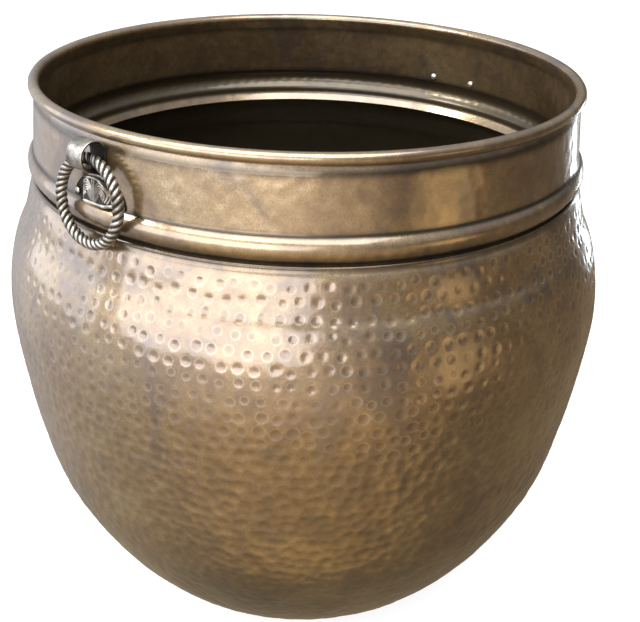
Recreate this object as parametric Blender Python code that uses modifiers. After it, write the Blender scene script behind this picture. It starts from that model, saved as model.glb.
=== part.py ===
"""Hammered brass planter pot with two hanging ring pulls.

A spun bowl and a swaged collar are separate sheets that lap at the throat. The collar's
top edge is rolled outward round an iron wire. On each side (-X and +X) a fan plate is
riveted to the collar, a folded strap is trapped behind it, and a ring swings in the strap.
Metres, +Z up, origin on the floor at the centre of the base, handles along X.
"""
from math import acos, asin, atan2, cos, degrees, hypot, pi, radians, sin

import bmesh
import bpy
from mathutils import Matrix, Vector
from mathutils.geometry import interpolate_bezier

# Driving dimensions
RIM_RADIUS = 0.200          # outermost radius of the rolled rim
RIM_HEIGHT = 0.421          # centre of the rolled rim above the floor
SHEET = 0.0012              # thickness of the bowl and collar
GAP = 0.0003                # clearance between touching pieces
STEPS = 64                  # facets round the pot
RIVET_STEPS = 16            # facets round a rivet and its holes
RING_STEPS, RING_SECTION_STEPS = 36, 8
WIRE_SECTION_STEPS = 8
ROLL_STEPS, BEAD_STEPS, CURL_STEPS = 10, 6, 22
CORNER_STEPS, FAN_STEPS = 4, 28
CUTTER_REACH = 0.010        # how far a cutting tool reaches to each side of the sheet it cuts

# Rolled rim and collar, heights measured down from the rolled rim's centre
ROLL_RADIUS = 0.004
ROLL_END = -85              # angle where the rolled edge stops, degrees from the outside
CREASE_RADIUS, CREASE_DEPTH = 0.1970, 0.009
WALL_RADIUS, WALL_DEPTH = 0.2003, 0.0470
BEAD_RADIUS = 0.2050        # outermost radius of the swaged bead
SKIRT_RADIUS, SKIRT_TOP, SKIRT_TURN = 0.2008, 0.0630, 0.0680
LEDGE_RADIUS, LEDGE_DEPTH = 0.1968, 0.0745     # the skirt's foot, turned inward

# Bowl, outer surface: knots as (radius, depth) and the curve handles between them
MOUTH_RADIUS = SKIRT_RADIUS + GAP + SHEET
MOUTH_DEPTH = 0.0650
THROAT = (MOUTH_RADIUS, 0.0680)
SHOULDER = (0.2125, 0.098)
BELLY = (0.2267, 0.160)
FLANK = (0.2041, 0.300)
BASE_RADIUS = 0.085
BOWL_CURVES = (
    (THROAT, (0.2070, 0.0735), (0.2078, 0.0885), SHOULDER, 4),
    (SHOULDER, (0.2188, 0.108), (0.2267, 0.134), BELLY, 4),
    (BELLY, (0.2267, 0.190), (0.2155, 0.268), FLANK, 4),
    (FLANK, (0.1920, 0.332), (0.1460, RIM_HEIGHT), (BASE_RADIUS, RIM_HEIGHT), 7),
)

# Ring pull: the ring hangs in the strap's curl, across the outside of the collar
RING_RADIUS = 0.0270
RING_SECTION = 0.0038
RING_LEAN = 6               # degrees outward, where the ring rests against the bead
STRAP_WIDTH = 0.0145
STRAP_SHEET = 0.0014
CURL_RADIUS = 0.010         # outside of the curl
CURL_STANDOFF = CURL_RADIUS + GAP
CURL_DEPTH = 0.0129         # centre of the curl below the rim
HINGE_INSET, HINGE_DROP = 0.0023, 0.0029    # where the ring lies in the curl, low and inward
TAIL_TOP, TAIL_BOTTOM = 0.0256, 0.0435

# Fan plate, riveted flat against the collar
PLATE_SHEET = 0.0012
PLATE_BOTTOM = 0.0459
FAN_HALF_WIDTH, FAN_HEIGHT = 0.0235, 0.018
FAN_CORNER = 0.0012         # radius of the fan's two lower corners
PLATE_BLANK_WIDTH, PLATE_BLANK_HEIGHT = 0.052, 0.020
PLATE_COLUMNS, PLATE_ROWS = 32, 6
TUNNEL_HALF_WIDTH, TUNNEL_FOOT, TUNNEL_RISE = 0.0083, 0.013, 0.0036
RIVET_SPAN, RIVET_RISE = 0.0193, 0.004

RIVET_SHANK = 0.0016
RIVET_HOLE = RIVET_SHANK + GAP
RIVET_HEAD_RADIUS, RIVET_HEAD_HEIGHT = 0.0028, 0.0016
RIVET_TAIL_RADIUS, RIVET_TAIL_HEIGHT = 0.0026, 0.0014


def clear_scene():
    for obj in list(bpy.data.objects):
        bpy.data.objects.remove(obj, do_unlink=True)


def collection(name):
    group = bpy.data.collections.new(name)
    bpy.context.scene.collection.children.link(group)
    return group


def material(name, colour, roughness, metallic=1.0):
    mat = bpy.data.materials.new(name)
    mat.use_nodes = True
    shader = mat.node_tree.nodes["Principled BSDF"]
    shader.inputs["Base Color"].default_value = (*colour, 1.0)
    shader.inputs["Roughness"].default_value = roughness
    shader.inputs["Metallic"].default_value = metallic
    return mat


def add_object(name, mesh, mat, group):
    obj = bpy.data.objects.new(name, mesh)
    group.objects.link(obj)
    if mat:
        mesh.materials.append(mat)
    return obj


def smooth(mesh, angle=40):
    mesh.shade_smooth()
    mesh.set_sharp_from_angle(angle=radians(angle))


def wire_mesh(name, points):
    """An open chain of edges through the points."""
    mesh = bpy.data.meshes.new(name)
    mesh.from_pydata(points, [(i, i + 1) for i in range(len(points) - 1)], [])
    return mesh


def turn(obj, steps=STEPS):
    screw = obj.modifiers.new("turn", "SCREW")
    screw.steps = steps
    screw.render_steps = steps
    screw.use_merge_vertices = True
    screw.merge_threshold = 0.0001
    screw.use_smooth_shade = True


def thicken(obj, thickness, offset):
    solidify = obj.modifiers.new("sheet", "SOLIDIFY")
    solidify.thickness = thickness
    solidify.offset = offset
    solidify.use_even_offset = True


def boolean(obj, cutter, operation="DIFFERENCE"):
    cut = obj.modifiers.new(operation.lower(), "BOOLEAN")
    cut.operation = operation
    cut.solver = "EXACT"
    cut.object = cutter


def as_cutter(obj):
    obj.hide_render = True
    obj.display_type = "WIRE"
    return obj


def arc(centre, radius, start, end, count):
    """Points of a circular arc in a plane, angles in degrees."""
    span = [radians(start + (end - start) * i / count) for i in range(count + 1)]
    return [(centre[0] + radius * cos(a), centre[1] + radius * sin(a)) for a in span]


def tangent_angle(point, centre, radius, side):
    """Angle, in degrees, where a line from the point touches the circle."""
    dx, dy = point[0] - centre[0], point[1] - centre[1]
    return degrees(atan2(dy, dx) + side * acos(radius / hypot(dx, dy)))


def arc_through(start, crown, end, count):
    """Points of the arc from start to end that bulges out to the crown's radius."""
    half = hypot(end[0] - start[0], end[1] - start[1]) / 2
    rise = crown - (start[0] + end[0]) / 2
    radius = (half ** 2 + rise ** 2) / (2 * rise)
    centre = (crown - radius, (start[1] + end[1]) / 2)
    angle = degrees(asin(half / radius))
    return arc(centre, radius, angle, -angle, count)


def wall_radius(depth):
    """Outside radius of the collar's tapered wall at a depth below the rim."""
    slope = (WALL_RADIUS - CREASE_RADIUS) / (WALL_DEPTH - CREASE_DEPTH)
    return CREASE_RADIUS + slope * (depth - CREASE_DEPTH)


def collar_profile():
    """Middle of the collar's sheet, from the rolled edge round and down to the skirt."""
    middle = ROLL_RADIUS - SHEET / 2
    centre = (RIM_RADIUS - ROLL_RADIUS, 0.0)
    crease = (CREASE_RADIUS - SHEET / 2, -CREASE_DEPTH)
    leave = tangent_angle(crease, centre, middle, -1) % 360
    roll = arc(centre, middle, ROLL_END, leave, ROLL_STEPS)
    bead = arc_through(
        (WALL_RADIUS - SHEET / 2, -WALL_DEPTH),
        BEAD_RADIUS - SHEET / 2,
        (SKIRT_RADIUS - SHEET / 2, -SKIRT_TOP),
        BEAD_STEPS,
    )
    skirt = [(SKIRT_RADIUS - SHEET / 2, -SKIRT_TURN), (LEDGE_RADIUS - SHEET / 2, -LEDGE_DEPTH)]
    return [(r, 0.0, RIM_HEIGHT + z) for r, z in roll + [crease] + bead + skirt]


def bowl_profile():
    """Outside of the bowl, from its mouth down to the middle of its base."""
    points = [(MOUTH_RADIUS, MOUTH_DEPTH)]
    for knot, handle, handle_2, knot_2, count in BOWL_CURVES:
        curve = interpolate_bezier(*(Vector((*p, 0.0)) for p in (knot, handle, handle_2, knot_2)),
                                   count + 1)
        points += [(p.x, p.y) for p in curve[:-1]]
    points += [(BASE_RADIUS, RIM_HEIGHT), (0.0, RIM_HEIGHT)]
    return [(r, 0.0, RIM_HEIGHT - depth) for r, depth in points]


def side_matrix(side, depth=0.0, offset=0.0, span=0.0):
    """Frame on the collar's wall: local +X points outward, +Z up, for side -1 or +1."""
    radius = wall_radius(depth)
    turn_about = Matrix.Rotation(span / radius + (pi if side < 0 else 0.0), 4, "Z")
    place = Matrix.Translation((radius + offset, 0.0, RIM_HEIGHT - depth))
    return turn_about @ place


def make_bowl(group, mat):
    bowl = add_object("bowl_shell", wire_mesh("bowl_shell", bowl_profile()), mat, group)
    turn(bowl)
    thicken(bowl, SHEET, -1)


def make_collar(group, mat, hole_cutters):
    collar = add_object("neck_collar", wire_mesh("neck_collar", collar_profile()), mat, group)
    turn(collar)
    thicken(collar, SHEET, 0)
    for cutter in hole_cutters:
        boolean(collar, cutter)


def make_rim_wire(group, mat):
    wire_radius = ROLL_RADIUS - SHEET - GAP
    centre = (RIM_RADIUS - ROLL_RADIUS, RIM_HEIGHT)
    section = arc(centre, wire_radius, 90, -270, WIRE_SECTION_STEPS)[:-1]
    mesh = bpy.data.meshes.new("rim_wire")
    edges = [(i, (i + 1) % len(section)) for i in range(len(section))]
    mesh.from_pydata([(r, 0.0, z) for r, z in section], edges, [])
    wire = add_object("rim_wire", mesh, mat, group)
    turn(wire)


def strap_profile():
    """Middle of the folded strap in its side plane, as (distance from the wall, depth)."""
    def tail(depth, layer):
        lean = wall_radius(depth) - wall_radius(CURL_DEPTH)
        return (lean + GAP + STRAP_SHEET / 2 + layer * (STRAP_SHEET + GAP), -depth)

    middle = CURL_RADIUS - STRAP_SHEET / 2
    centre = (CURL_STANDOFF, -CURL_DEPTH)
    inner_top, outer_top = tail(TAIL_TOP - 0.002, 0), tail(TAIL_TOP, 1)
    start = tangent_angle(inner_top, centre, middle, -1) % 360
    end = tangent_angle(outer_top, centre, middle, 1)
    curl = arc(centre, middle, start, end, CURL_STEPS)
    return [tail(TAIL_BOTTOM, 0), inner_top] + curl + [outer_top, tail(TAIL_BOTTOM, 1)]


def make_strap(name, side, group, mat):
    """A flat strip folded round the ring, with both tails down behind the fan plate."""
    mesh = wire_mesh(name, [(x, -STRAP_WIDTH / 2, z) for x, z in strap_profile()])
    sheet = bmesh.new()
    sheet.from_mesh(mesh)
    swept = bmesh.ops.extrude_edge_only(sheet, edges=sheet.edges[:])["geom"]
    corners = [v for v in swept if isinstance(v, bmesh.types.BMVert)]
    bmesh.ops.translate(sheet, verts=corners, vec=(0.0, STRAP_WIDTH, 0.0))
    bmesh.ops.recalc_face_normals(sheet, faces=sheet.faces[:])
    sheet.to_mesh(mesh)
    sheet.free()
    strap = add_object(name, mesh, mat, group)
    strap.matrix_world = side_matrix(side, CURL_DEPTH) @ Matrix.Translation((0, 0, CURL_DEPTH))
    thicken(strap, STRAP_SHEET, 0)


def make_ring(name, side, group, mat):
    """A round ring whose origin is its hinge line, the middle of its section in the curl."""
    bpy.ops.mesh.primitive_torus_add(
        major_radius=RING_RADIUS, minor_radius=RING_SECTION,
        major_segments=RING_STEPS, minor_segments=RING_SECTION_STEPS)
    ring = bpy.context.object
    ring.name = ring.data.name = name
    upright = Matrix.Rotation(pi / 2, 4, "Y")
    ring.data.transform(Matrix.Translation((0, 0, -RING_RADIUS)) @ upright)
    for old in list(ring.users_collection):
        old.objects.unlink(ring)
    group.objects.link(ring)
    ring.data.materials.append(mat)
    smooth(ring.data)
    curl = side_matrix(side, CURL_DEPTH, CURL_STANDOFF)
    hinge = Matrix.Translation((-HINGE_INSET, 0, -HINGE_DROP))
    ring.matrix_world = curl @ hinge @ Matrix.Rotation(radians(-RING_LEAN), 4, "Y")


def fan_outline():
    """Half an oval, flat along the bottom, with its two lower corners rounded."""
    corner = (FAN_HALF_WIDTH - FAN_CORNER, FAN_CORNER)
    fan_angle = degrees(asin(FAN_CORNER / FAN_HEIGHT))
    right = arc(corner, FAN_CORNER, -90, 0, CORNER_STEPS)[:-1]
    fan = [(FAN_HALF_WIDTH * x, FAN_HEIGHT * y) for x, y in
           arc((0.0, 0.0), 1.0, fan_angle, 180 - fan_angle, FAN_STEPS)]
    left = [(-x, y) for x, y in reversed(right)]
    return right + fan + left


def outline_cutter(name, side, group):
    """The fan's outline as a thick slab that crosses the plate's sheet."""
    curve = bpy.data.curves.new(name, "CURVE")
    curve.dimensions = "2D"
    curve.fill_mode = "BOTH"
    curve.extrude = CUTTER_REACH
    points = fan_outline()
    spline = curve.splines.new("POLY")
    spline.points.add(len(points) - 1)
    for point, (x, y) in zip(spline.points, points):
        point.co = (x, y, 0.0, 1.0)
    spline.use_cyclic_u = True
    guide = bpy.data.objects.new(name, curve)
    group.objects.link(guide)
    bpy.context.view_layer.update()
    evaluated = guide.evaluated_get(bpy.context.evaluated_depsgraph_get())
    mesh = bpy.data.meshes.new_from_object(evaluated)
    slab = bmesh.new()
    slab.from_mesh(mesh)
    bmesh.ops.remove_doubles(slab, verts=slab.verts[:], dist=0.00001)
    bmesh.ops.recalc_face_normals(slab, faces=slab.faces[:])
    slab.to_mesh(mesh)
    slab.free()
    bpy.data.objects.remove(guide, do_unlink=True)
    cutter = as_cutter(add_object(name, mesh, None, group))
    face_outward = Matrix(((0, 0, 1, 0), (1, 0, 0, 0), (0, 1, 0, 0), (0, 0, 0, 1)))
    cutter.matrix_world = side_matrix(side, PLATE_BOTTOM) @ face_outward
    return cutter


def tunnel_rise(span):
    """How far the plate stands out over the strap's tails, by distance from its middle."""
    edge = (TUNNEL_FOOT - abs(span)) / (TUNNEL_FOOT - TUNNEL_HALF_WIDTH)
    edge = min(max(edge, 0.0), 1.0)
    return TUNNEL_RISE * (3 * edge ** 2 - 2 * edge ** 3)


def make_plate(name, side, group, mat, outline, hole_cutters):
    """A sheet bent to the collar, raised over the strap and cut to the fan's outline."""
    grid = bmesh.new()
    bmesh.ops.create_grid(grid, x_segments=PLATE_COLUMNS, y_segments=PLATE_ROWS, size=0.5)
    for vert in grid.verts:
        span = vert.co.x * PLATE_BLANK_WIDTH
        height = (vert.co.y + 0.5) * PLATE_BLANK_HEIGHT - GAP
        depth = PLATE_BOTTOM - height
        radius = wall_radius(depth) + GAP + PLATE_SHEET / 2 + tunnel_rise(span)
        angle = span / wall_radius(depth)
        vert.co = (radius * cos(angle), radius * sin(angle), RIM_HEIGHT - depth)
    bmesh.ops.recalc_face_normals(grid, faces=grid.faces[:])
    mesh = bpy.data.meshes.new(name)
    grid.to_mesh(mesh)
    grid.free()
    plate = add_object(name, mesh, mat, group)
    plate.rotation_euler.z = pi if side < 0 else 0.0
    thicken(plate, PLATE_SHEET, 0)
    boolean(plate, outline, "INTERSECT")
    for cutter in hole_cutters:
        boolean(plate, cutter)


def rivet_profile():
    """One rivet as (distance along its axis, radius), domed head outside, button inside."""
    seat = GAP + PLATE_SHEET + GAP
    inside = -SHEET - GAP
    head = [(seat + RIVET_HEAD_HEIGHT * cos(a), RIVET_HEAD_RADIUS * sin(a))
            for a in (0.0, 0.5, 1.0, pi / 2)]
    tail = [(inside - RIVET_TAIL_HEIGHT * sin(a), RIVET_TAIL_RADIUS * cos(a))
            for a in (0.0, 0.6, 1.1, pi / 2)]
    shank = [(seat, RIVET_SHANK), (inside, RIVET_SHANK)]
    return head + shank + tail


def rivet_matrix(side, span):
    """Rivet frame, with +Z along the rivet, straight out of the collar's tapered wall."""
    depth = PLATE_BOTTOM - RIVET_RISE
    return side_matrix(side, depth, 0.0, span) @ Matrix.Rotation(pi / 2, 4, "Y")


def make_rivet(name, side, span, group, mat):
    points = [(max(radius, 0.0), 0.0, along) for along, radius in rivet_profile()]
    rivet = add_object(name, wire_mesh(name, points), mat, group)
    rivet.matrix_world = rivet_matrix(side, span)
    turn(rivet, RIVET_STEPS)


def hole_cutter(name, side, span, group):
    bore = bmesh.new()
    bmesh.ops.create_cone(bore, cap_ends=True, segments=RIVET_STEPS, radius1=RIVET_HOLE,
                          radius2=RIVET_HOLE, depth=2 * CUTTER_REACH)
    mesh = bpy.data.meshes.new(name)
    bore.to_mesh(mesh)
    bore.free()
    cutter = as_cutter(add_object(name, mesh, None, group))
    cutter.matrix_world = rivet_matrix(side, span)
    return cutter


def main():
    clear_scene()
    parts = collection("brass_planter_pot")
    cutters = collection("cutters")
    brass = material("hammered_brass", (0.36, 0.26, 0.14), 0.36)
    iron = material("iron_wire", (0.20, 0.18, 0.17), 0.60)
    pull = material("aged_pull_metal", (0.46, 0.43, 0.38), 0.38)
    bright = material("rivet_metal", (0.80, 0.78, 0.74), 0.30)

    holes = {}
    for label, side in (("a", -1), ("b", 1)):
        for number, span in ((1, -RIVET_SPAN), (2, RIVET_SPAN)):
            name = f"rivet_{label}{number}"
            holes.setdefault(label, []).append(hole_cutter(f"{name}_hole", side, span, cutters))
            make_rivet(name, side, span, parts, bright)
        outline = outline_cutter(f"fan_outline_{label}", side, cutters)
        make_plate(f"handle_plate_{label}", side, parts, pull, outline, holes[label])
        make_strap(f"strap_loop_{label}", side, parts, pull)
        make_ring(f"pull_ring_{label}", side, parts, pull)

    make_bowl(parts, brass)
    make_collar(parts, brass, holes["a"] + holes["b"])
    make_rim_wire(parts, iron)


main()
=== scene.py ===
"""Hammered brass planter pot with two hanging ring pulls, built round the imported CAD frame.

Everything is in metres in the CAD's own frame: +Z up, floor at z = 0, handles along X.
"""

from math import acos, asin, atan2, cos, degrees, hypot, pi, radians, sin

import bpy
import numpy as np
from mathutils import Matrix, Vector
from mathutils.geometry import delaunay_2d_cdt, interpolate_bezier


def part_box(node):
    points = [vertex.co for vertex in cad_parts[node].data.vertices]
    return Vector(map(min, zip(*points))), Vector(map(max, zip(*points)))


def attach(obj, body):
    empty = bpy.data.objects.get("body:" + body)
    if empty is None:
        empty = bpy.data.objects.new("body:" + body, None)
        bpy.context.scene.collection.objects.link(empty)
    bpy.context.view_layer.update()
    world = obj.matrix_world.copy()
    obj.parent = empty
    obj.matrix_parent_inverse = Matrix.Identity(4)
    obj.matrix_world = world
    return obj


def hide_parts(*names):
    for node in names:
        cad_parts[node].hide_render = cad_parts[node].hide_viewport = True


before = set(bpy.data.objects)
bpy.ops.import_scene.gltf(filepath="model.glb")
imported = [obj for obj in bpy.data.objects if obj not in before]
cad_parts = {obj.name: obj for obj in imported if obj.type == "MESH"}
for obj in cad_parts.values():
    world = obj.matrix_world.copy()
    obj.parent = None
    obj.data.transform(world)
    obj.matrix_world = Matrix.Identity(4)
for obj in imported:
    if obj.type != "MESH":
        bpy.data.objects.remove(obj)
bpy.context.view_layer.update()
MM = 0.001
TURN = 2 * pi

# Rim: depths are measured down from RIM_HEIGHT, the middle of the roll
ROLL_RADIUS = 4.0 * MM
RIM_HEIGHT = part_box("neck_collar")[1].z - ROLL_RADIUS
RIM_RADIUS = 0.200
SHEET = 1.2 * MM
GAP = 0.3 * MM                              # clearance between neighbouring pieces

# Collar, as (radius, depth) pairs down from the roll
ROLL_END = -85                              # where the rolled edge stops, in degrees
CREASE_RADIUS, CREASE_DEPTH = 0.1970, 0.009
WALL_RADIUS, WALL_DEPTH = 0.2003, 0.0470
BEAD_RADIUS = 0.2050
SKIRT_RADIUS, SKIRT_TOP, SKIRT_TURN = 0.2008, 0.0630, 0.0680
LEDGE_RADIUS, LEDGE_DEPTH = 0.1968, 0.0745

# Bowl, as (radius, depth)
MOUTH_RADIUS = SKIRT_RADIUS + GAP + SHEET
MOUTH_DEPTH = 0.0650
THROAT = (MOUTH_RADIUS, 0.0680)
SHOULDER = (0.2125, 0.098)
BELLY = (0.2267, 0.160)
FLANK = (0.2041, 0.300)
BASE_RADIUS = 0.085
BOWL_CURVES = (
    (THROAT, (0.2070, 0.0735), (0.2078, 0.0885), SHOULDER),
    (SHOULDER, (0.2188, 0.108), (0.2267, 0.134), BELLY),
    (BELLY, (0.2267, 0.190), (0.2155, 0.268), FLANK),
    (FLANK, (0.1920, 0.332), (0.1460, RIM_HEIGHT), (BASE_RADIUS, RIM_HEIGHT)),
)

# Ring pull; the ring hangs with its foot leaning outward by RING_LEAN degrees
RING_RADIUS, RING_SECTION, RING_LEAN = 0.0270, 0.0038, 6
STRAP_WIDTH, STRAP_SHEET = 0.0145, 0.0014
CURL_RADIUS = 0.010
CURL_STANDOFF = CURL_RADIUS + GAP
CURL_DEPTH = 0.0129
HINGE_INSET, HINGE_DROP = 0.0023, 0.0029
TAIL_TOP, TAIL_BOTTOM = 0.0256, 0.0435
PLATE_SHEET, PLATE_BOTTOM = 0.0012, 0.0459
FAN_HALF_WIDTH, FAN_HEIGHT, FAN_CORNER = 0.0235, 0.018, 0.0012
TUNNEL_HALF_WIDTH, TUNNEL_FOOT, TUNNEL_RISE = 0.0083, 0.013, 0.0036
RIVET_SPAN, RIVET_RISE = 0.0193, 0.004
RIVET_DOME, RIVET_SHANK, RIVET_TAIL = 0.0019, 0.0016, 0.0026
DOME_RISE, TAIL_RISE = 0.0011, 0.0014

# Hammering
BOWL_PITCH, INNER_PITCH, COLLAR_PITCH = 0.0017, 0.0034, 0.0008
MARK_REACH = 1.9                            # how far a mark is worked out, in mark radii
UNMARKED = 3.0                              # stands for "far from every mark"
MARK_LIMIT = 2.0                            # largest distance the materials are given
BOWL_SEED, WALL_SEED, BEAD_SEED, STRAP_SEED = 11, 21, 23, 31


# ---------------------------------------------------------------- mesh helpers

def arc(centre, radius, start, end, count):
    """Points of a circular arc in a plane, angles in degrees."""
    span = [radians(start + (end - start) * i / count) for i in range(count + 1)]
    return [(centre[0] + radius * cos(a), centre[1] + radius * sin(a)) for a in span]


def tangent_angle(point, centre, radius, side):
    """Angle, in degrees, where a line from the point touches the circle."""
    dx, dy = point[0] - centre[0], point[1] - centre[1]
    return degrees(atan2(dy, dx) + side * acos(radius / hypot(dx, dy)))


def arc_through(start, crown, end, count):
    """Points of the arc from start to end that bulges out to the crown's radius."""
    half = hypot(end[0] - start[0], end[1] - start[1]) / 2
    rise = crown - (start[0] + end[0]) / 2
    radius = (half ** 2 + rise ** 2) / (2 * rise)
    centre = (crown - radius, (start[1] + end[1]) / 2)
    angle = degrees(asin(half / radius))
    return arc(centre, radius, angle, -angle, count)


def along(points):
    """Distance along a line of points."""
    return np.r_[0, np.cumsum(np.linalg.norm(np.diff(points, axis=0), axis=1))]


def respaced(points, count):
    """The same line as an array of count points, equally far apart."""
    points = np.array(points, float)
    station = along(points)
    wanted = np.linspace(0, station[-1], count)
    return np.stack([np.interp(wanted, station, points[:, i]) for i in (0, 1)], axis=1)


def evenly(points, pitch):
    """The same line as an array, with a point about every pitch."""
    return respaced(points, max(2, int(round(along(points)[-1] / pitch)) + 1))


def normals_2d(points):
    """Unit normals of a line of points in a plane, to the left of its direction."""
    tangent = np.gradient(points, axis=0)
    tangent /= np.linalg.norm(tangent, axis=1)[:, None]
    return np.stack([-tangent[:, 1], tangent[:, 0]], axis=1)


def smoothstep(value, low, high):
    """0 below low, 1 above high and a smooth step between; the slope may run backwards."""
    t = np.clip((value - low) / (high - low), 0, 1)
    return t * t * (3 - 2 * t)


def make_mesh(name, points, faces):
    """A smooth-shaded mesh from an array of points and a list of arrays of faces."""
    mesh = bpy.data.meshes.new(name)
    sizes = np.concatenate([np.full(len(f), f.shape[1]) for f in faces])
    corners = np.concatenate([f.ravel() for f in faces])
    mesh.vertices.add(len(points))
    mesh.vertices.foreach_set("co", np.ascontiguousarray(points, np.float32).ravel())
    mesh.loops.add(len(corners))
    mesh.loops.foreach_set("vertex_index", corners.astype(np.int32))
    mesh.polygons.add(len(sizes))
    starts = np.r_[0, np.cumsum(sizes)[:-1]]
    mesh.polygons.foreach_set("loop_start", starts.astype(np.int32))
    mesh.update(calc_edges=True)
    mesh.validate()
    mesh.shade_smooth()
    return mesh


def grid_faces(rows, columns, first=0, wrap_rows=False):
    """Quads over a grid of points numbered row by row and closed round its columns."""
    index = first + np.arange(rows * columns).reshape(rows, columns)
    low = index if wrap_rows else index[:-1]
    high = np.roll(index, -1, axis=0) if wrap_rows else index[1:]
    quads = np.stack([low, np.roll(low, -1, 1), np.roll(high, -1, 1), high], axis=-1)
    return quads.reshape(-1, 4)


def store(mesh, name, values):
    """Give every point of a mesh a value that its material reads."""
    made = mesh.attributes.new(name, "FLOAT", "POINT")
    made.data.foreach_set("value", np.ascontiguousarray(values, np.float32).ravel())


def add_piece(name, mesh, material, body, node):
    """Put a mesh in the scene, riding its body, in place of one CAD node."""
    piece = bpy.data.objects.new(name, mesh)
    bpy.context.scene.collection.objects.link(piece)
    mesh.materials.append(material)
    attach(piece, body)
    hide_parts(node)


def turned_grid(profile, columns, normal=None, offset=0.0):
    """Grid of points of a profile of (radius, height) turned round Z.

    With normals, the points move out along them by offset[row, column].
    """
    angle = np.arange(columns) * TURN / columns
    normal = np.zeros(profile.shape) if normal is None else normal
    radius = profile[:, 0, None] + normal[:, 0, None] * offset
    height = profile[:, 1, None] + normal[:, 1, None] * offset
    height = np.broadcast_to(height, (len(profile), columns))
    return np.stack([radius * np.cos(angle), radius * np.sin(angle), height], axis=-1)


def moved(points, matrix):
    """An array of points taken through a matrix."""
    m = np.array(matrix, float)
    return points @ m[:3, :3].T + m[:3, 3]


# ---------------------------------------------------------------- hammering

def hammer(stations, radii, columns, rows_of_marks, seed):
    """Round hammer marks over a lathed grid.

    rows_of_marks holds (station, pitch, mark radius, depth, jitter). Returns how deep each
    point is sunk, and its distance from the nearest mark's centre in mark radii.
    """
    draw = np.random.default_rng(seed)
    sunk = np.zeros((len(stations), columns))
    near = np.full((len(stations), columns), UNMARKED)
    step = TURN / columns
    for station, pitch, size, depth, jitter in rows_of_marks:
        girth = np.interp(station, stations, radii)
        count = max(3, int(round(TURN * girth / pitch)))
        start = draw.random()
        for number in range(count):
            centre = station + draw.uniform(-jitter, jitter)
            angle = (number + start) / count * TURN + draw.uniform(-jitter, jitter) / girth
            mark = size * draw.uniform(0.86, 1.14)
            deep = depth * draw.uniform(0.65, 1.3)
            edge = MARK_REACH * mark
            low, high = np.searchsorted(stations, (centre - edge, centre + edge))
            if high <= low:
                continue
            reach = int(np.ceil(edge / (girth * step)))
            at = (int(round(angle / step)) + np.arange(-reach, reach + 1))
            across = (at * step - angle) * radii[low:high, None]
            down = stations[low:high, None] - centre
            ratio = np.sqrt(across ** 2 + down ** 2) / mark
            at = at % columns
            dish = deep * np.clip(1 - ratio ** 2, 0, 1)
            sunk[low:high, at] = np.maximum(sunk[low:high, at], dish)
            near[low:high, at] = np.minimum(near[low:high, at], ratio)
    return sunk, near


def ripple(stations, columns, seed, waves, strength, fewest=3, most=26, slant=90):
    """Slow unevenness of hand-worked sheet, the same where the grid closes on itself."""
    draw = np.random.default_rng(seed)
    angle = np.arange(columns) * TURN / columns
    total = np.zeros((len(stations), columns))
    for _ in range(waves):
        turns = draw.integers(fewest, most)
        phase, drift = draw.uniform(0, TURN), draw.uniform(-slant, slant)
        total += np.sin(turns * angle + phase + stations[:, None] * drift) * draw.uniform(0.3, 1)
    return strength * total / waves ** 0.5


# ---------------------------------------------------------------- bowl and collar

def bowl_line():
    """Outside of the bowl from its mouth to the edge of its base, as (radius, height)."""
    points = [(MOUTH_RADIUS, MOUTH_DEPTH)]
    for knots in BOWL_CURVES:
        curve = interpolate_bezier(*(Vector((*knot, 0.0)) for knot in knots), 60)
        points += [(p.x, p.y) for p in curve[:-1]]
    points.append((BASE_RADIUS, RIM_HEIGHT))
    return np.array([(r, RIM_HEIGHT - depth) for r, depth in points])


def bowl_marks(length):
    """Rows of ball-peen marks for hammer, crisp on the shoulder and softer towards the base."""
    rows, station, count = [], 0.012, 0
    while station < length - 0.004:
        soft = smoothstep(station / length, 0.16, 0.42)
        shallow = 0.00028 * smoothstep(station / length, 0.45, 0.80)
        pitch = 0.0112 - 0.0022 * soft
        size = 0.0032 + 0.0003 * sin(count * 1.7) + 0.0020 * soft
        rows.append((station, pitch, size, 0.00044 - shallow, 0.0018 + 0.0012 * soft))
        station += 0.0104 - 0.0020 * soft
        count += 1
    return rows


def bowl_faces(outer_rows, inner_rows, columns):
    """Faces of the two skins and their base discs, and of the lip that joins the skins.

    The inner skin has half the outer skin's columns.
    """
    half = columns // 2
    inner_first = outer_rows * columns
    inner_end = inner_first + inner_rows * half
    lip_out = np.arange(columns)
    lip_in = inner_first + np.arange(half)
    lip_next = np.roll(lip_in, -1)
    even, odd, following = lip_out[0::2], lip_out[1::2], np.roll(lip_out, -2)[0::2]
    return [grid_faces(outer_rows, columns)[:, ::-1],
            grid_faces(inner_rows, half, inner_first),
            np.stack([even, odd, lip_in], 1),
            np.stack([odd, following, lip_next], 1),
            np.stack([odd, lip_next, lip_in], 1),
            (inner_first - columns + np.arange(columns))[None],
            (inner_end - half + np.arange(half))[None, ::-1]]


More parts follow.
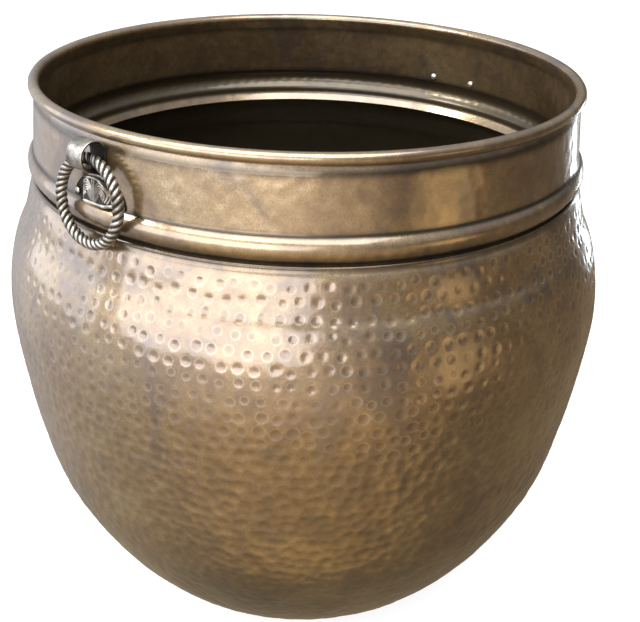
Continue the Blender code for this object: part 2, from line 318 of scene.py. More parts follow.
def make_bowl(material):
    """A hollow sheet, hammered outside and, more softly, inside."""
    columns, inner_columns = 840, 420
    outer = evenly(bowl_line(), BOWL_PITCH)
    stations = along(outer)
    sunk, near = hammer(stations, outer[:, 0], columns, bowl_marks(stations[-1]), BOWL_SEED)
    fade = smoothstep(stations, 0.005, 0.012) * smoothstep(stations[-1] - stations, 0.0, 0.006)
    raised = 0.00007 * np.exp(-((near - 1.1) / 0.17) ** 2)
    wave = ripple(stations, columns, seed=5, waves=14, strength=0.00024)
    wave += ripple(stations, columns, seed=8, waves=18, strength=0.00009,
                   fewest=20, most=64, slant=260)
    offset = (raised - sunk + wave) * fade[:, None]
    outside = turned_grid(outer, columns, normals_2d(outer), offset)
    base_rows = np.array([(r, 0.0) for r in np.linspace(BASE_RADIUS, 0.012, 12)[1:]])
    outside_base = turned_grid(base_rows, columns)

    inner = evenly(bowl_line(), INNER_PITCH)
    inner_stations = along(inner)
    inner_sunk, inner_near = hammer(inner_stations, inner[:, 0], inner_columns,
                                    bowl_marks(inner_stations[-1]), BOWL_SEED)
    inner_fade = smoothstep(inner_stations, 0.004, 0.012)
    inner_offset = -SHEET - 0.8 * inner_sunk * inner_fade[:, None]
    inside = turned_grid(inner, inner_columns, normals_2d(inner), inner_offset)
    inside_base = turned_grid(base_rows + (0, SHEET), inner_columns)

    points = [grid.reshape(-1, 3) for grid in (outside, outside_base, inside, inside_base)]
    outer_skin, outer_disc, inner_skin, inner_disc = (len(p) for p in points)
    outer_count, inner_count = outer_skin + outer_disc, inner_skin + inner_disc
    faces = bowl_faces(outer_count // columns, inner_count // inner_columns, columns)
    mesh = make_mesh("bowl_hammered", np.concatenate(points), faces)

    mark = np.concatenate([near.ravel(), np.full(outer_disc, UNMARKED),
                           inner_near.ravel(), np.full(inner_disc, UNMARKED)])
    store(mesh, "mark", np.minimum(mark, MARK_LIMIT))
    blotch = 0.5 + 0.5 * ripple(stations, columns, seed=3, waves=10, strength=1.0)
    soft = smoothstep(stations / stations[-1], 0.14, 0.50)[:, None]
    crisp = np.clip((1 - 0.62 * soft) * (0.55 + 0.6 * blotch), 0.10, 1)
    store(mesh, "crisp", np.concatenate([crisp.ravel(), np.zeros(outer_disc + inner_count)]))
    store(mesh, "inner", np.r_[np.zeros(outer_count), np.ones(inner_count)])
    # Painted shade round the bowl's mouth, where it runs up under the collar's skirt
    lap_shade = np.repeat(0.75 * np.exp(-(stations / 0.0035) ** 2), columns)
    store(mesh, "painted_crease_shade", np.concatenate([lap_shade, np.zeros(outer_disc + inner_count)]))
    add_piece("bowl_hammered", mesh, material, "pot", "bowl_shell")


def collar_line():
    """Middle of the collar's sheet, from the rolled edge round and down to the skirt."""
    middle = ROLL_RADIUS - SHEET / 2
    centre = (RIM_RADIUS - ROLL_RADIUS, 0.0)
    crease = (CREASE_RADIUS - SHEET / 2, -CREASE_DEPTH)
    leave = tangent_angle(crease, centre, middle, -1) % 360
    roll = arc(centre, middle, ROLL_END, leave, 60)
    bead = arc_through((WALL_RADIUS - SHEET / 2, -WALL_DEPTH), BEAD_RADIUS - SHEET / 2,
                       (SKIRT_RADIUS - SHEET / 2, -SKIRT_TOP), 40)
    skirt = [(SKIRT_RADIUS - SHEET / 2, -SKIRT_TURN), (LEDGE_RADIUS - SHEET / 2, -LEDGE_DEPTH)]
    return np.array(roll + [crease] + bead + skirt) + (0.0, RIM_HEIGHT)


def soften(line, rounds, keep):
    """Rounds a line's corners a little, leaving its first points alone."""
    line = line.copy()
    for _ in range(rounds):
        middle = (line[:-2] + line[2:]) / 2
        line[1:-1] = np.where(np.arange(1, len(line) - 1)[:, None] > keep,
                              (line[1:-1] + middle) / 2, line[1:-1])
    return line


def make_collar(material):
    """The second sheet: rolled rim, lightly planished wall, scalloped bead and skirt."""
    columns = 720
    roll_points = 22
    line = soften(evenly(collar_line(), COLLAR_PITCH), 2, roll_points)
    stations = along(line)
    normal = normals_2d(line)
    roll_end, wall_end, skirt_at, turn_at = (
        stations[np.argmax(line[:, 1] < RIM_HEIGHT - depth)]
        for depth in (CREASE_DEPTH, WALL_DEPTH, SKIRT_TOP, SKIRT_TURN))
    bead_length = skirt_at - wall_end
    every_second = np.r_[0:len(line) - 1:2, len(line) - 1]
    line, stations, normal = line[every_second], stations[every_second], normal[every_second]

    # Marks, as (station, pitch, mark radius, depth, jitter)
    wall_rows = np.arange(roll_end + 0.004, wall_end - 0.002, 0.0085)
    wall = [(station, 0.0120, 0.0058, 0.00014, 0.003) for station in wall_rows]
    bead = [(wall_end + 0.66 * bead_length, 0.0098, 0.0031, 0.00026, 0.0007)]
    sunk, near = hammer(stations, line[:, 0], columns, wall, WALL_SEED)
    scallop, _ = hammer(stations, line[:, 0], columns, bead, BEAD_SEED)
    below_roll = smoothstep(stations, roll_end, roll_end + 0.006)[:, None]
    wave = ripple(stations, columns, seed=9, waves=12, strength=0.00012)
    offset = wave * below_roll - (sunk + scallop)
    outside = turned_grid(line, columns, normal, offset + SHEET / 2)
    inside = turned_grid(line, columns, normal, offset - SHEET / 2)[::-1]
    points = np.concatenate([outside, inside]).reshape(-1, 3)
    faces = grid_faces(2 * len(line), columns, wrap_rows=True)[:, ::-1]
    mesh = make_mesh("collar_swaged", points, [faces])

    mark = np.concatenate([near, near[::-1]])
    store(mesh, "mark", np.minimum(mark, MARK_LIMIT))
    store(mesh, "crisp", np.full(mark.shape, 0.12))
    # Inside: the wall a little darker, and painted shade in the bead's hollow down to the skirt's
    # turn; the ledge below is left bright
    above_turn = smoothstep(turn_at - 0.0005 - stations, -0.0012, 0.0)
    shade = np.where(stations < wall_end, 0.10, 0.85) * above_turn
    inner = np.concatenate([np.zeros(len(line)), shade[::-1]])
    store(mesh, "inner", np.repeat(inner, columns))
    # Painted shade along the creases: under the roll, above the bead, low on the bead and where
    # the skirt starts, as (station, reach, strength)
    creases = ((roll_end, 0.0030, 0.72), (wall_end - 0.0006, 0.0021, 0.97),
               (wall_end + 0.92 * bead_length, 0.0046, 0.62), (skirt_at, 0.0020, 0.9))
    crease_shade_profile = np.max([strength * np.exp(-((stations - at) / reach) ** 2)
                   for at, reach, strength in creases], axis=0)
    # The inside of the sheet gets half of the painted crease shade
    store(mesh, "painted_crease_shade", np.repeat(np.concatenate([crease_shade_profile, 0.5 * crease_shade_profile[::-1]]), columns))
    add_piece("collar_swaged", mesh, material, "pot", "neck_collar")


# ---------------------------------------------------------------- ring pulls

def wall_radius(depth):
    """Outside radius of the collar's wall at a depth."""
    slope = (WALL_RADIUS - CREASE_RADIUS) / (WALL_DEPTH - CREASE_DEPTH)
    return CREASE_RADIUS + slope * (depth - CREASE_DEPTH)


def side_matrix(side, depth=0.0, offset=0.0, span=0.0):
    """Frame on the collar's wall: local +X points outward, +Z up, for side -1 or +1."""
    radius = wall_radius(depth)
    about = Matrix.Rotation(span / radius + (pi if side < 0 else 0.0), 4, "Z")
    return about @ Matrix.Translation((radius + offset, 0.0, RIM_HEIGHT - depth))


def make_ring(name, side, material, body, node):
    """A three-strand rope twist bent into a ring."""
    round_steps, section_steps, strands, twists = 624, 42, 3, 13
    major = np.arange(round_steps)[:, None] * TURN / round_steps
    minor = np.arange(section_steps)[None, :] * TURN / section_steps
    phase = strands * (minor + twists * major) / 2
    groove = 1 - np.abs(np.cos(phase)) ** 0.75
    radius = RING_SECTION * (1 - 0.30 * groove)
    reach = RING_RADIUS + radius * np.cos(minor)
    x = radius * np.sin(minor)
    points = np.stack([x, reach * np.cos(major), reach * np.sin(major) - RING_RADIUS], -1)
    place = (side_matrix(side, CURL_DEPTH, CURL_STANDOFF)
             @ Matrix.Translation((-HINGE_INSET, 0, -HINGE_DROP))
             @ Matrix.Rotation(radians(-RING_LEAN), 4, "Y"))
    points = moved(points.reshape(-1, 3), place)
    faces = grid_faces(round_steps, section_steps, wrap_rows=True)[:, ::-1]
    mesh = make_mesh(name, points, [faces])
    store(mesh, "recess_and_shade", groove)
    add_piece(name, mesh, material, body, node)


def strap_line():
    """Middle of the folded strap in its side plane, as (distance from the wall, -depth)."""
    def tail(depth, layer):
        lean = wall_radius(depth) - wall_radius(CURL_DEPTH)
        return (lean + GAP + STRAP_SHEET / 2 + layer * (STRAP_SHEET + GAP), -depth)

    middle = CURL_RADIUS - STRAP_SHEET / 2
    centre = (CURL_STANDOFF, -CURL_DEPTH)
    inner_top, outer_top = tail(TAIL_TOP - 0.002, 0), tail(TAIL_TOP, 1)
    start = tangent_angle(inner_top, centre, middle, -1) % 360
    end = tangent_angle(outer_top, centre, middle, 1)
    curl = arc(centre, middle, start, end, 80)
    return [tail(TAIL_BOTTOM, 0), inner_top] + curl + [outer_top, tail(TAIL_BOTTOM, 1)]


def make_strap(name, side, material, node):
    """A strip with rounded edges, folded round the ring, its inner face a little hollow."""
    line = soften(evenly(strap_line(), 0.0007), 3, 0)
    normal = -normals_2d(line)
    half, edge = STRAP_SHEET / 2, 0.0006
    flat = STRAP_WIDTH / 2 - edge
    hollowed = [(flat * a, half + 0.00010 * abs(a) ** 6 - 0.00008 * (1 - a * a))
                for a in np.linspace(-1, 1, 9)]
    level = [(-y, -half) for y, _ in hollowed]
    turns = (0.7, pi / 2, pi - 0.7)
    right = [(flat + edge * sin(a), half * cos(a)) for a in turns]
    left = [(-flat - edge * sin(a), -half * cos(a)) for a in turns]
    section = np.array(hollowed + right + level + left)
    draw = np.random.default_rng(STRAP_SEED + side)
    dents = draw.normal(0, 0.00005, (len(line), len(section)))
    dents = (dents + np.roll(dents, 1, 0) + np.roll(dents, -1, 0) + np.roll(dents, 1, 1)) / 2
    reach = section[None, :, 1] + dents * (np.abs(section[None, :, 0]) < flat)
    x = line[:, 0, None] + normal[:, 0, None] * reach
    z = line[:, 1, None] + normal[:, 1, None] * reach
    y = np.broadcast_to(section[None, :, 0], x.shape)
    points = np.stack([x, y, z + CURL_DEPTH], -1).reshape(-1, 3)
    points = moved(points, side_matrix(side, CURL_DEPTH))
    rows, columns = x.shape
    ends = [np.arange(columns)[None, ::-1], (rows - 1) * columns + np.arange(columns)[None]]
    mesh = make_mesh(name, points, [grid_faces(rows, columns)] + ends)
    # Painted shade on the strap's inner face, inside the curl
    curl_inside_shade = np.where(section[:, 1] > 0, 0.9, 0.0)
    store(mesh, "recess_and_shade", np.broadcast_to(curl_inside_shade, (rows, columns)))
    add_piece(name, mesh, material, "pot", node)


def fan_outline():
    """Half an oval, flat along the bottom, with its two lower corners rounded."""
    corner = (FAN_HALF_WIDTH - FAN_CORNER, FAN_CORNER)
    fan_angle = degrees(asin(FAN_CORNER / FAN_HEIGHT))
    right = arc(corner, FAN_CORNER, -90, 0, 8)[:-1]
    fan = [(FAN_HALF_WIDTH * x, FAN_HEIGHT * y) for x, y in
           arc((0.0, 0.0), 1.0, fan_angle, 180 - fan_angle, 90)]
    left = [(-x, y) for x, y in reversed(right)]
    return evenly(right + fan + left + right[:1], 0.00045)[:-1]


def foliage():
    """Raised lines of the fan's leaves, right-hand half, in millimetres: a stem, then ribs."""
    lines = [[(0.75, 2.4), (0.55, 8.0), (0.95, 16.9)]]
    rib = ((-3.4, -4.6), (-3.9, 0.4), (-3.6, 5.2), (-0.9, 8.2),
           (3.4, 7.0), (6.6, 3.2), (7.0, -1.0), (5.2, -4.6))
    for grow in (1.0, 0.79, 0.59, 0.40, 0.22):
        lines.append([(5.6 + grow * x, 7.4 + grow * y) for x, y in rib])
    return lines


def smooth_line(points):
    """A smooth curve close to the points."""
    line = respaced(points, 40)
    for _ in range(12):
        line[1:-1] = (line[:-2] + line[2:]) / 4 + line[1:-1] / 2
    return line


def distance_to_line(points, line):
    start, step = line[:-1], np.diff(line, axis=0)
    rel = points[:, None, :] - start[None]
    t = np.clip((rel * step).sum(-1) / np.maximum((step ** 2).sum(-1), 1e-12), 0, 1)
    return np.linalg.norm(rel - t[..., None] * step, axis=-1).min(axis=1)


def fan_relief(x, y, edge):
    """Millimetres of the fan's cast face over its plate, and 0 to 1 for dark recesses and painted
    shade on the ears.
    """
    ridge_width, fan_width, fan_height = 0.38, 14.0, 18.3
    place = np.stack([np.abs(x), y], 1) / MM
    ridge = np.zeros(len(x))
    for points in foliage():
        gap = distance_to_line(place, smooth_line(points))
        ridge = np.maximum(ridge, np.exp(-(gap / ridge_width) ** 2))
    border = np.exp(-((edge / MM - 0.6) / 0.5) ** 2)
    lip = smoothstep(place[:, 1], 2.2, 1.6)
    across = np.hypot(place[:, 0] / fan_width, place[:, 1] / fan_height)
    lip_end = smoothstep(place[:, 0], 14.4, 13.6)
    inside = np.maximum(smoothstep(across, 1.05, 0.99), lip * lip_end)
    fan_edge = np.exp(-((across - 0.95) / 0.035) ** 2)
    raised = np.maximum.reduce([ridge * (1 - lip), border, lip, fan_edge])
    height = inside * (0.62 * raised + 0.25 * lip) + (1 - inside) * 0.25 * border
    # Outside the fan the flat ears get painted shade, less along the plate's border
    return height, inside * 0.50 * (1 - raised) + (1 - inside) * (0.95 - 0.5 * border)


def make_plate(name, side, material, node):
    """A cast fan, raised over the strap's tails and bent to the collar."""
    outline = fan_outline()
    closed = np.r_[outline, outline[:1]]
    pitch = 0.00034
    gx, gy = np.meshgrid(np.arange(-FAN_HALF_WIDTH, FAN_HALF_WIDTH, pitch),
                         np.arange(0, FAN_HEIGHT, pitch))
    inner = np.stack([gx.ravel(), gy.ravel()], 1)
    inner = inner[(inner[:, 0] / FAN_HALF_WIDTH) ** 2 + (inner[:, 1] / FAN_HEIGHT) ** 2 < 1]
    inner = inner[distance_to_line(inner, closed) > 0.6 * pitch]
    points = [Vector(p) for p in np.r_[outline, inner]]
    edge_loop = list(range(len(outline)))
    found, _, triangles, *_ = delaunay_2d_cdt(points, [], [edge_loop], 1, 1e-9)
    triangles = np.array([t for t in triangles if len(t) == 3])
    flat = np.array([tuple(p) for p in found])
    x, y = flat[:, 0], flat[:, 1]
    edge = distance_to_line(flat, closed)
    height, recess_and_shade = fan_relief(x, y, edge)
    tunnel = TUNNEL_RISE * smoothstep(TUNNEL_FOOT - np.abs(x), 0, TUNNEL_FOOT - TUNNEL_HALF_WIDTH)
    corner = 0.0005
    from_corner = 1 - np.clip(edge / corner, 0, 1)
    round_over = corner * (1 - np.sqrt(np.clip(1 - from_corner ** 2, 0, 1)))
    depth = PLATE_BOTTOM - y
    base = wall_radius(depth) + GAP + tunnel
    angle = x / wall_radius(depth)

    def bent(radius):
        return np.stack([radius * np.cos(angle), radius * np.sin(angle), RIM_HEIGHT - depth], -1)

    top = bent(base + PLATE_SHEET + height * MM - round_over)
    count = len(flat)
    ring = np.arange(len(outline))
    after = np.roll(ring, -1)
    sides = np.stack([ring, ring + count, after + count, after], 1)
    points = moved(np.concatenate([top, bent(base)]),
                   Matrix.Rotation(pi if side < 0 else 0.0, 4, "Z"))
    mesh = make_mesh(name, points, [triangles, triangles[:, ::-1] + count, sides])
    # The back face, against the collar, is all painted shade
    store(mesh, "recess_and_shade", np.concatenate([recess_and_shade, np.ones(count)]))
    add_piece(name, mesh, material, "pot", node)


def make_rivet(name, side, span, material, node):
    """Domed head outside, button tail inside, along the collar wall's own normal."""
    columns = 32
    seat = GAP + PLATE_SHEET + GAP
    inside = -SHEET - GAP
    dome = [(RIVET_DOME * sin(a), seat + 0.0005 + DOME_RISE * cos(a))
            for a in np.linspace(0.06, pi / 2, 9)]
    flange = [(0.0021, seat + 0.00035), (0.0025, seat + 0.00035), (0.0028, seat + 0.0001)]
    shank = [(RIVET_SHANK, seat), (RIVET_SHANK, inside)]
    tail = [(RIVET_TAIL * cos(a), inside - TAIL_RISE * sin(a))
            for a in np.linspace(0, pi / 2 - 0.06, 9)]
    profile = np.array(dome + flange + shank + tail)
    rows = len(profile)
    place = (side_matrix(side, PLATE_BOTTOM - RIVET_RISE, 0.0, span)
             @ Matrix.Rotation(pi / 2, 4, "Y"))
    points = moved(turned_grid(profile, columns).reshape(-1, 3), place)
    caps = [np.arange(columns)[None], ((rows - 1) * columns + np.arange(columns))[None, ::-1]]
    mesh = make_mesh(name, points, [grid_faces(rows, columns)[:, ::-1]] + caps)
    # Painted shade on the flange round the domed head
    dark = np.zeros(rows)
    dark[len(dome) - 1:len(dome) + len(flange)] = 1
    store(mesh, "recess_and_shade", np.repeat(dark, columns))
    add_piece(name, mesh, material, "pot", node)


# ---------------------------------------------------------------- materials

# Sockets of a colour mix node: factor, A and B, and its result
MIX_INPUTS, MIX_RESULT = (0, 6, 7), 2


class Nodes:
    """Short calls for building one material's node tree."""

    def __init__(self, name):
        self.material = bpy.data.materials.new(name)
        self.material.use_nodes = True
        self.tree = self.material.node_tree
        self.shader = self.tree.nodes["Principled BSDF"]
        self.place = self.tree.nodes.new("ShaderNodeTexCoord").outputs["Object"]

    def link(self, source, socket):
        self.tree.links.new(source, socket)

    def set(self, **values):
        """Plain values straight on the shader."""
        for name, value in values.items():
            self.shader.inputs[name.replace("_", " ")].default_value = value

    def scaled(self, factors):
        """The piece's own place, stretched."""
        node = self.tree.nodes.new("ShaderNodeMapping")
        node.inputs["Scale"].default_value = factors
        self.link(self.place, node.inputs["Vector"])
        return node.outputs["Vector"]

    def noise(self, scale, detail=4.0, rough=0.55, distort=0.0, vector=None):
        """Noise over the piece's own place, or over a vector."""
        node = self.tree.nodes.new("ShaderNodeTexNoise")
        node.inputs["Scale"].default_value = scale
        node.inputs["Detail"].default_value = detail
        node.inputs["Roughness"].default_value = rough
        node.inputs["Distortion"].default_value = distort
        self.link(vector or self.place, node.inputs["Vector"])
        return node.outputs["Fac"]

    def attribute(self, name):
        node = self.tree.nodes.new("ShaderNodeAttribute")
        node.attribute_name = name
        return node.outputs["Fac"]

    def ramp(self, source, *stops):
        """Value of the source through stops of (place, grey or colour)."""
        node = self.tree.nodes.new("ShaderNodeValToRGB")
        node.color_ramp.interpolation = "EASE" if len(stops) < 3 else "LINEAR"
        marks = node.color_ramp.elements
        while len(marks) < len(stops):
            marks.new(0.5)
        for mark, (at, shade) in zip(marks, stops):
            mark.position = at
            shade = (shade,) * 3 if isinstance(shade, (int, float)) else shade
            mark.color = (*shade, 1.0)
        self.link(source, node.inputs["Fac"])
        return node.outputs["Color"]

    def span(self, source, low, high, to_low=0.0, to_high=1.0):
        """The source's smooth step from low to high, as to_low to to_high."""
        node = self.tree.nodes.new("ShaderNodeMapRange")
        node.interpolation_type = "SMOOTHSTEP"
        limits = {"From Min": low, "From Max": high, "To Min": to_low, "To Max": to_high}
        for name, value in limits.items():
            node.inputs[name].default_value = value
        self.link(source, node.inputs["Value"])
        return node.outputs["Result"]

    def math(self, kind, a, b):
        node = self.tree.nodes.new("ShaderNodeMath")
        node.operation = kind
        for socket, value in zip(node.inputs, (a, b)):
            if isinstance(value, (int, float)):
                socket.default_value = value
            else:
                self.link(value, socket)
        return node.outputs["Value"]

    def mix(self, factor, a, b):
        """Colour a, or b where the factor is 1."""
        node = self.tree.nodes.new("ShaderNodeMix")
        node.data_type = "RGBA"
        for number, value in zip(MIX_INPUTS, (factor, a, b)):
            socket = node.inputs[number]
            if isinstance(value, (int, float)):
                socket.default_value = value
            elif isinstance(value, tuple):
                socket.default_value = (*value, 1.0)
            else:
                self.link(value, socket)
        return node.outputs[MIX_RESULT]

    def bump(self, height, strength, distance, under=None):
        """Normals bent by a height, on top of those bent before."""
        node = self.tree.nodes.new("ShaderNodeBump")
        node.inputs["Strength"].default_value = strength
        node.inputs["Distance"].default_value = distance
        self.link(height, node.inputs["Height"])
        if under:
            self.link(under, node.inputs["Normal"])
        return node.outputs["Normal"]


def patina(nodes):
    """Mottled brown, olive and gold of old lacquered brass."""
    broad = nodes.noise(7.0, 3.0, 0.5, 0.4)
    patch = nodes.noise(31.0, 4.0, 0.6, 0.8)
    fine = nodes.noise(150.0, 5.0, 0.65, 0.3)
    mottle = nodes.math("ADD", nodes.math("MULTIPLY", broad, 0.45),
                        nodes.math("ADD", nodes.math("MULTIPLY", patch, 0.33),
                                   nodes.math("MULTIPLY", fine, 0.22)))
    colour = nodes.ramp(mottle, (0.34, (0.085, 0.055, 0.030)), (0.44, (0.170, 0.105, 0.052)),
                        (0.52, (0.270, 0.175, 0.080)), (0.60, (0.360, 0.250, 0.118)),
                        (0.70, (0.460, 0.340, 0.190)))
    streaked = nodes.noise(19.0, 4.0, 0.6, 1.2, nodes.scaled((1.0, 1.0, 0.45)))
    stain = nodes.span(streaked, 0.56, 0.68)
    colour = nodes.mix(nodes.math("MULTIPLY", stain, 0.55), colour, (0.105, 0.078, 0.072))
    return colour, patch, fine


def brass_material():
    """Old lacquered brass: darker in its hammer marks, with painted highlights on their rims,
    painted shade in creases, and nearly black inside.
    """
    nodes = Nodes("hammered_brass")
    colour, patch, fine = patina(nodes)
    mark, crisp = nodes.attribute("mark"), nodes.attribute("crisp")
    pit = nodes.math("MULTIPLY", nodes.span(mark, 0.35, 0.95, 1.0, 0.0), crisp)
    # Lighter rims round the hammer marks: rubbed wear, and a painted highlight
    ring = nodes.math("MULTIPLY", nodes.span(mark, 0.78, 0.98),
                      nodes.span(mark, 1.05, 1.30, 1.0, 0.0))
    wear_and_highlight = nodes.span(nodes.noise(40.0, 3.0, 0.6), 0.35, 0.62)
    wear_and_highlight = nodes.math("MULTIPLY", wear_and_highlight, nodes.math("POWER", crisp, 2.0))
    ring = nodes.math("MULTIPLY", ring, wear_and_highlight)
    colour = nodes.mix(nodes.math("MULTIPLY", pit, 0.50), colour, (0.130, 0.075, 0.045))
    # Painted highlight, with some wear, on the rims of the marks
    colour = nodes.mix(nodes.math("MULTIPLY", ring, 0.35), colour, (0.56, 0.47, 0.34))
    grain = nodes.noise(900.0, 2.0, 0.6)
    colour = nodes.mix(nodes.span(grain, 0.35, 0.7, 0.0, 0.35), colour, (0.10, 0.072, 0.045))
    inner, painted_crease_shade = nodes.attribute("inner"), nodes.attribute("painted_crease_shade")
    # Darker inside: partly a darker inside patina, partly painted shade
    colour = nodes.mix(nodes.math("MULTIPLY", inner, 0.90), colour, (0.060, 0.050, 0.030))
    # Painted shade, near black, in the creases and at the bowl's lap
    colour = nodes.mix(painted_crease_shade, colour, (0.016, 0.015, 0.013))
    nodes.link(colour, nodes.shader.inputs["Base Color"])
    rough = nodes.math("ADD", nodes.span(patch, 0.3, 0.7, 0.36, 0.24),
                       nodes.math("MULTIPLY", inner, 0.12))
    nodes.link(rough, nodes.shader.inputs["Roughness"])
    dull = nodes.math("MAXIMUM", nodes.math("MULTIPLY", inner, 0.85), painted_crease_shade)
    nodes.link(nodes.span(dull, 0.0, 1.0, 0.90, 0.10), nodes.shader.inputs["Coat Weight"])
    nodes.link(nodes.span(fine, 0.3, 0.7, 0.08, 0.20), nodes.shader.inputs["Coat Roughness"])
    nodes.set(Metallic=0.80, Coat_IOR=1.9)
    under = nodes.bump(ring, 0.4, 0.00010)
    under = nodes.bump(nodes.noise(95.0, 3.0, 0.5), 0.30, 0.0008, under)
    nodes.link(nodes.bump(fine, 0.20, 0.00035, under), nodes.shader.inputs["Normal"])
    return nodes.material


def pull_material():
    """Silvery cast metal, blackened in its recesses, with painted shade inside the strap's curl
    and on the plate's ears and back.
    """
    nodes = Nodes("aged_pull_metal")
    patch = nodes.noise(90.0, 4.0, 0.6, 0.5)
    fine = nodes.noise(520.0, 4.0, 0.6)
    colour = nodes.ramp(patch, (0.32, (0.16, 0.14, 0.115)), (0.52, (0.36, 0.33, 0.29)),
                        (0.70, (0.58, 0.55, 0.50)))
    # Blackened patina in the ring's grooves and the fan's hollows; painted shade inside the
    # strap's curl and on the plate's ears and back
    recess_and_shade = nodes.span(nodes.attribute("recess_and_shade"), 0.07, 0.54)
    colour = nodes.mix(nodes.math("MULTIPLY", recess_and_shade, 0.94), colour, (0.022, 0.019, 0.015))
    nodes.link(colour, nodes.shader.inputs["Base Color"])
    rough = nodes.math("ADD", nodes.span(fine, 0.3, 0.7, 0.24, 0.40),
                       nodes.math("MULTIPLY", recess_and_shade, 0.25))
    nodes.link(rough, nodes.shader.inputs["Roughness"])
    nodes.set(Metallic=0.92)
    under = nodes.bump(patch, 0.3, 0.0004)
    nodes.link(nodes.bump(fine, 0.35, 0.00015, under), nodes.shader.inputs["Normal"])
    return nodes.material


def rivet_material():
    """Bright rubbed metal, with painted shade round the head."""
    nodes = Nodes("rivet_metal")
    fine = nodes.noise(700.0, 3.0, 0.6)
    colour = nodes.ramp(fine, (0.30, (0.55, 0.52, 0.47)), (0.60, (0.86, 0.84, 0.80)))
    # Painted shade round the head
    colour = nodes.mix(nodes.attribute("recess_and_shade"), colour, (0.025, 0.022, 0.018))
    nodes.link(colour, nodes.shader.inputs["Base Color"])
    nodes.link(nodes.span(fine, 0.3, 0.7, 0.38, 0.22), nodes.shader.inputs["Roughness"])
    nodes.link(nodes.bump(fine, 0.3, 0.0001), nodes.shader.inputs["Normal"])
    nodes.set(Metallic=0.9)
    return nodes.material


def wire_material():
    """Iron wire with a little rust."""
    nodes = Nodes("iron_wire_finish")
    rust = nodes.noise(260.0, 5.0, 0.65)
    colour = nodes.ramp(rust, (0.35, (0.10, 0.095, 0.09)), (0.6, (0.22, 0.13, 0.07)))
    nodes.link(colour, nodes.shader.inputs["Base Color"])
    nodes.link(nodes.span(rust, 0.3, 0.7, 0.5, 0.8), nodes.shader.inputs["Roughness"])
    nodes.link(nodes.bump(rust, 0.4, 0.0002), nodes.shader.inputs["Normal"])
    nodes.set(Metallic=0.7)
    return nodes.material


# ---------------------------------------------------------------- stage

def make_camera():
    """Camera a little above the rim, to the right of the pull on the -X side."""
    pitch, roll, yaw = 0.4665, 0.0268, 0.0136
    distance, rise, azimuth = 0.7644, 0.1914, -50.2
    data = bpy.data.cameras.new("camera")
    data.lens, data.sensor_width = 58.88, 36.0
    data.shift_x, data.shift_y = 0.0056, -0.0042
    data.clip_start, data.clip_end = 0.02, 50.0
    camera = bpy.data.objects.new("camera", data)
    bpy.context.scene.collection.objects.link(camera)
    bpy.context.scene.camera = camera
    level = Vector((cos(yaw), -sin(yaw), 0.0))
    ahead = Vector((sin(yaw) * cos(pitch), cos(yaw) * cos(pitch), -sin(pitch)))
    over = Vector((sin(yaw) * sin(pitch), cos(yaw) * sin(pitch), cos(pitch)))
    right = cos(roll) * level + sin(roll) * over
    up = -sin(roll) * level + cos(roll) * over
    about = Matrix.Rotation(radians(azimuth), 3, "Z")
    axes = Matrix((about @ right, about @ up, about @ -ahead)).transposed()
    place = about @ Vector((0.0, -distance, rise)) + Vector((0, 0, RIM_HEIGHT))
    camera.matrix_world = Matrix.Translation(place) @ axes.to_4x4()


def direction(azimuth, elevation):
    """Unit vector towards an azimuth from +X and an elevation, in degrees."""
    a, e = radians(azimuth), radians(elevation)
    return Vector((cos(a) * cos(e), sin(a) * cos(e), sin(e)))


def softbox(name, azimuth, elevation, distance, width, height, radiance, colour=(1, 1, 1)):
    """A rectangular area light that shines at the pot's belly from a direction."""
    data = bpy.data.lights.new(name, "AREA")
    data.shape = "RECTANGLE"
    data.size, data.size_y = width, height
    data.energy = radiance * pi * width * height
    data.color = colour
    lamp = bpy.data.objects.new(name, data)
    bpy.context.scene.collection.objects.link(lamp)
    towards = direction(azimuth, elevation)
    lamp.location = Vector((0, 0, 0.30)) + towards * distance
    lamp.rotation_mode = "QUATERNION"
    lamp.rotation_quaternion = towards.to_track_quat("Z", "Y")
    lamp.visible_camera = False


def make_lights():
    """Soft lamps, each by azimuth, elevation, distance, width, height, radiance and colour."""
    softbox("key", 142, 36, 2.3, 0.5, 0.5, 32.0, (1.0, 0.99, 0.96))
    softbox("window_left", 187, 13, 2.4, 3.4, 1.35, 3.2, (0.98, 1.0, 1.08))
    softbox("left_fill", 121, 8, 2.6, 2.0, 1.5, 1.4, (0.92, 1.0, 1.12))
    softbox("right_window", -3, -8, 1.9, 0.18, 0.50, 7.0, (0.78, 0.90, 1.0))
    softbox("top", 205, 67, 2.4, 3.0, 2.2, 5.0)


# The room's colours from straight down (0) to straight up (1), away from the window side
# and towards it
DARK_SIDE = ((0.0, (0.17, 0.14, 0.09)), (0.30, (0.25, 0.185, 0.12)),
             (0.55, (0.11, 0.095, 0.075)), (1.0, (0.95, 1.00, 1.06)))
LIGHT_SIDE = ((0.0, (0.24, 0.20, 0.13)), (0.14, (0.52, 0.45, 0.35)),
              (0.38, (0.95, 0.98, 1.08)), (1.0, (1.20, 1.24, 1.30)))
WINDOW_AZIMUTH = 150
# Light thrown back by the room, as (azimuth, elevation, reach in degrees, colour)
WARM_GLOWS = ((218, -34, 52, (0.50, 0.32, 0.10)), (276, -8, 17, (1.20, 0.86, 0.41)))


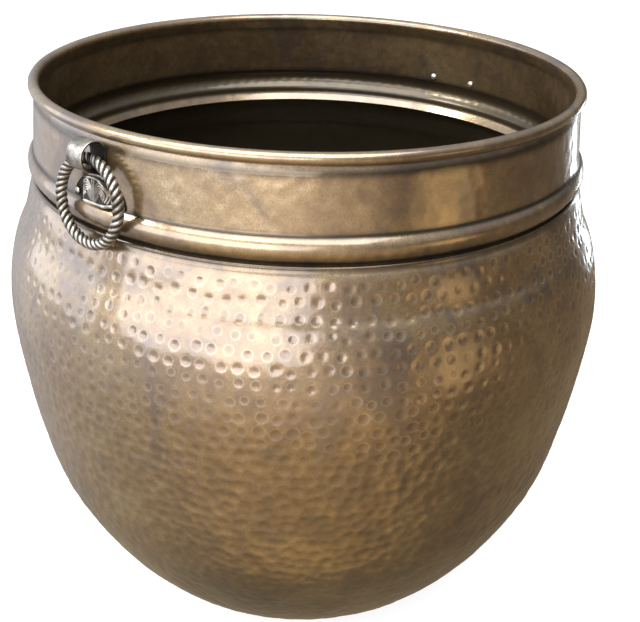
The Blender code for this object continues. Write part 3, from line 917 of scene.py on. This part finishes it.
def make_world():
    """A plain room, lighter overhead and towards the window side."""
    world = bpy.data.worlds.new("room")
    bpy.context.scene.world = world
    world.use_nodes = True
    tree = world.node_tree
    tree.nodes.clear()
    add, link = tree.nodes.new, tree.links.new
    coords = add("ShaderNodeTexCoord").outputs["Generated"]

    def towards(azimuth, elevation, low, high):
        """Smooth step, from low to high, of how far the view leans to a direction."""
        lean = add("ShaderNodeVectorMath")
        lean.operation = "DOT_PRODUCT"
        lean.inputs[1].default_value = direction(azimuth, elevation)
        link(coords, lean.inputs[0])
        step = add("ShaderNodeMapRange")
        step.interpolation_type = "SMOOTHSTEP"
        step.inputs["From Min"].default_value = low
        step.inputs["From Max"].default_value = high
        link(lean.outputs["Value"], step.inputs["Value"])
        return step.outputs["Result"]

    split = add("ShaderNodeSeparateXYZ")
    link(coords, split.inputs["Vector"])
    rise = add("ShaderNodeMapRange")
    rise.inputs["From Min"].default_value = -1.0
    link(split.outputs["Z"], rise.inputs["Value"])
    factor, first, second = MIX_INPUTS
    blend = add("ShaderNodeMix")
    blend.data_type = "RGBA"
    link(towards(WINDOW_AZIMUTH, 0, -0.6, 0.9), blend.inputs[factor])
    for number, stops in ((first, DARK_SIDE), (second, LIGHT_SIDE)):
        ramp = add("ShaderNodeValToRGB")
        marks = ramp.color_ramp.elements
        while len(marks) < len(stops):
            marks.new(0.5)
        for mark, (at, shade) in zip(marks, stops):
            mark.position, mark.color = at, (*shade, 1.0)
        link(rise.outputs["Result"], ramp.inputs["Fac"])
        link(ramp.outputs["Color"], blend.inputs[number])
    colour = blend.outputs[MIX_RESULT]
    for azimuth, elevation, reach, glow in WARM_GLOWS:
        more = add("ShaderNodeMix")
        more.data_type, more.blend_type = "RGBA", "ADD"
        link(towards(azimuth, elevation, cos(radians(reach)), 1.0), more.inputs[factor])
        link(colour, more.inputs[first])
        more.inputs[second].default_value = (*glow, 1.0)
        colour = more.outputs[MIX_RESULT]
    shade = add("ShaderNodeBackground")
    link(colour, shade.inputs["Color"])
    link(shade.outputs["Background"], add("ShaderNodeOutputWorld").inputs["Surface"])


def make_floor():
    """A wide, pale, level floor just under the pot, that neither shades nor tints the metal."""
    reach, drop = 12.0, 0.0004
    corners = ((-reach, -reach), (reach, -reach), (reach, reach), (-reach, reach))
    mesh = bpy.data.meshes.new("floor")
    mesh.from_pydata([(x, y, -drop) for x, y in corners], [], [(0, 1, 2, 3)])
    floor = bpy.data.objects.new("floor", mesh)
    bpy.context.scene.collection.objects.link(floor)
    nodes = Nodes("pale_floor")
    tone = nodes.noise(2.0, 2.0)
    nodes.link(nodes.ramp(tone, (0.3, 0.34), (0.7, 0.36)), nodes.shader.inputs["Base Color"])
    nodes.set(Roughness=0.9, Emission_Color=(1, 1, 1, 1), Emission_Strength=0.80)
    mesh.materials.append(nodes.material)
    floor.visible_glossy = floor.visible_diffuse = floor.visible_shadow = False


# ---------------------------------------------------------------- build

def main():
    """Everything in the scene; the wire in the roll stays the CAD's own, with a new finish."""
    make_camera()
    make_world()
    make_lights()
    make_floor()
    brass = brass_material()
    pull = pull_material()
    bright = rivet_material()
    make_bowl(brass)
    make_collar(brass)
    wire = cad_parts["rim_wire"]
    wire.data.materials.clear()
    wire.data.materials.append(wire_material())
    for label, side in (("a", -1), ("b", 1)):
        make_ring(f"rope_ring_{label}", side, pull, f"ring_{label}", f"pull_ring_{label}")
        make_strap(f"strap_{label}", side, pull, f"strap_loop_{label}")
        make_plate(f"fan_plate_{label}", side, pull, f"handle_plate_{label}")
        for number, span in ((1, -RIVET_SPAN), (2, RIVET_SPAN)):
            make_rivet(f"rivet_head_{label}{number}", side, span, bright,
                       f"rivet_{label}{number}")


main()
bpy.context.scene.view_settings.view_transform = "Standard"
